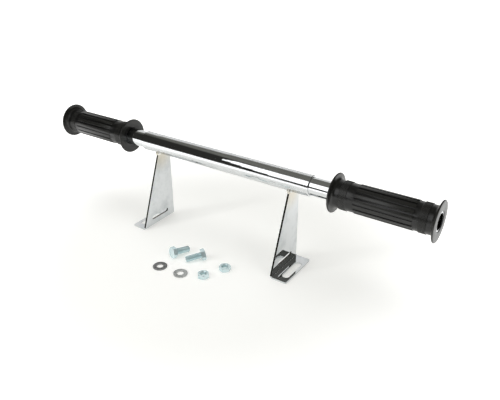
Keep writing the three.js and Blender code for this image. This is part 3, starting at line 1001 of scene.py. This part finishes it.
def paper(name, near, far, reach):
    """White paper with light of its own: near's up to the first reach, then far's."""
    material = bpy.data.materials.new(name)
    material.use_nodes = True
    tree = material.node_tree
    shader = tree.nodes["Principled BSDF"]
    shader.inputs["Base Color"].default_value = (0.72, 0.72, 0.705, 1)
    shader.inputs["Roughness"].default_value = 0.9
    shader.inputs["Specular IOR Level"].default_value = 0.1
    shader.inputs["Emission Strength"].default_value = 1
    where = add(tree, "ShaderNodeTexCoord")
    away = add(tree, "ShaderNodeVectorMath", operation="LENGTH",
               links=[("Vector", where.outputs["Object"])])
    glow = add(tree, "ShaderNodeMapRange", interpolation_type="SMOOTHSTEP",
               links=[("Value", away.outputs["Value"])])
    glow.inputs["From Min"].default_value = reach[0]
    glow.inputs["From Max"].default_value = reach[1]
    tone = add(tree, "ShaderNodeMix", data_type="RGBA",
               links=[("Factor", glow.outputs["Result"])])
    tone.inputs["A"].default_value = (*near, 1)
    tone.inputs["B"].default_value = (*far, 1)
    tree.links.new(tone.outputs["Result"], shader.inputs["Emission Color"])
    return material


floor.data.materials.append(
    paper("floor_paper", near=(0.4, 0.4, 0.385), far=(1.0, 1.0, 1.0), reach=(0.16, 0.42)))
sweep.data.materials.append(
    paper("sweep_paper", near=(0.62, 0.62, 0.62), far=(0.5, 0.5, 0.5), reach=(2.3, 3.2)))
print("floor and sweep, m:", [round(v, 2) for v in (*floor.dimensions, *sweep.dimensions)])

# %% Soft light with a cut corner
start_clean()
bpy.ops.mesh.primitive_plane_add(size=1, location=(0, 0, 0))
bpy.context.object.scale = (0.707, 0.82, 1)
panel = settle("light_panel")
edit(panel)
pick("edges", lambda e: middle(e).x < -0.35)
bpy.ops.mesh.subdivide(number_cuts=1)
pick("verts", lambda v: v.co.x < -0.35 and abs(v.co.y) < 0.01)
bpy.ops.transform.translate(value=(0, 0.09, 0))
pick("verts", lambda v: v.co.x < -0.35 and v.co.y < -0.4)
bpy.ops.transform.translate(value=(0.2, 0, 0))
bpy.ops.object.mode_set(mode="OBJECT")
panel.rotation_euler = (math.radians(54.5), 0, 0)
panel.location = bar + Vector((-0.299, -0.788, 0.606))
panel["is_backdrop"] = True
glow = bpy.data.materials.new("panel_glow")
glow.use_nodes = True
glow.node_tree.nodes.clear()
lit = add(glow.node_tree, "ShaderNodeEmission", Strength=1.8)
add(glow.node_tree, "ShaderNodeOutputMaterial", links=[("Surface", lit.outputs[0])])
panel.data.materials.append(glow)
print("panel corners:", len(panel.data.vertices))


# %% Fill lights
def soft_lamp(name, place, aim, size, power):
    """A square soft lamp that lights the floor and the rubber but isn't mirrored."""
    lamp = bpy.data.lights.new(name, "AREA")
    lamp.shape = "SQUARE"
    lamp.size = size
    lamp.energy = power
    holder = bpy.data.objects.new(name, lamp)
    bpy.context.scene.collection.objects.link(holder)
    holder.location = place
    holder.rotation_euler = (Vector(aim) - Vector(place)).to_track_quat("-Z", "Y").to_euler()
    holder.visible_glossy = False
    print(name, "lamp:", power, "W")


soft_lamp("key", (-0.5, -0.85, 0.75), aim=(0, 0, 0.05), size=0.5, power=14)
soft_lamp("fill_right", (1.4, -0.2, 0.9), aim=(0, 0, 0.05), size=0.9, power=6)
soft_lamp("fill_top", (-0.2, 0.3, 2.0), aim=(0, 0, 0), size=1.6, power=14)

# %% [markdown]
# The room's dark is the world's own colour. A gradient over its whole height would be
# simpler, but the bar shows a clear edge in the dark, so only a part of the ceiling is dim
# grey, high up and on one side of a line overhead, and all the rest is almost black.

# %% Dark room with a dim ceiling
CEILING_SIDE = (0.858, 0.512, 0)  # level direction in which the ceiling gets brighter
DARKEST = 0.03
room = bpy.data.worlds.new("room")
room.use_nodes = True
bpy.context.scene.world = room
tree = room.node_tree
where = add(tree, "ShaderNodeTexCoord")
parts = add(tree, "ShaderNodeSeparateXYZ", links=[("Vector", where.outputs["Generated"])])
slope = add(tree, "ShaderNodeVectorMath", operation="DOT_PRODUCT",
            links=[(0, where.outputs["Generated"])])
slope.inputs[1].default_value = CEILING_SIDE
rise = add(tree, "ShaderNodeMath", operation="MAXIMUM", links=[(0, parts.outputs["Z"])])
rise.inputs[1].default_value = 0.05
ratio = add(tree, "ShaderNodeMath", operation="DIVIDE",
            links=[(0, slope.outputs["Value"]), (1, rise.outputs[0])])
ceiling = add(tree, "ShaderNodeMapRange", interpolation_type="SMOOTHSTEP",
              links=[("Value", ratio.outputs[0])])
for label, value in (("From Min", -0.85), ("From Max", -0.6), ("To Min", 0.0),
                     ("To Max", 0.14)):
    ceiling.inputs[label].default_value = value
high = add(tree, "ShaderNodeMapRange", interpolation_type="SMOOTHSTEP",
           links=[("Value", parts.outputs["Z"])])
for label, value in (("From Min", 0.45), ("From Max", 0.65)):
    high.inputs[label].default_value = value
level = add(tree, "ShaderNodeMath", operation="MULTIPLY_ADD",
            links=[(0, ceiling.outputs["Result"]), (1, high.outputs["Result"])])
level.inputs[2].default_value = DARKEST
sky = tree.nodes["Background"]
sky.inputs["Color"].default_value = (1, 0.99, 0.9, 1)
tree.links.new(level.outputs[0], sky.inputs["Strength"])
print("world:", room.name)

# %% [markdown]
# ## Camera
# The bar is seen from its right end and from above, at about a person's reach. The lens
# is a little long, so that the far grip isn't much smaller than the near one.

# %% Place the camera
lens = bpy.data.cameras.new("camera")
lens.sensor_width = 36
lens.lens = 40.75
LOOKS_DOWN = 0.4842  # radians
lens.clip_start = 0.01
camera = bpy.data.objects.new("camera", lens)
bpy.context.scene.collection.objects.link(camera)
camera.location = bar + Vector((0.3890, -0.5193, 0.2859))
camera.rotation_euler = (math.pi / 2 - LOOKS_DOWN, 0, VIEW_TURN)
bpy.context.scene.camera = camera
bpy.context.scene.view_settings.view_transform = "Standard"
print("camera, m:", [round(v, 3) for v in camera.location])

# %% [markdown]
# ## Finish
# The visual model is held against the CAD model's box, and how far it stands outside it is
# printed.

# %% Compare the two boxes and finish
low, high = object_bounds()
outside = max(max(cad_low - low), max(high - cad_high))
print("outside the CAD box, mm:", round(outside / MM, 3))
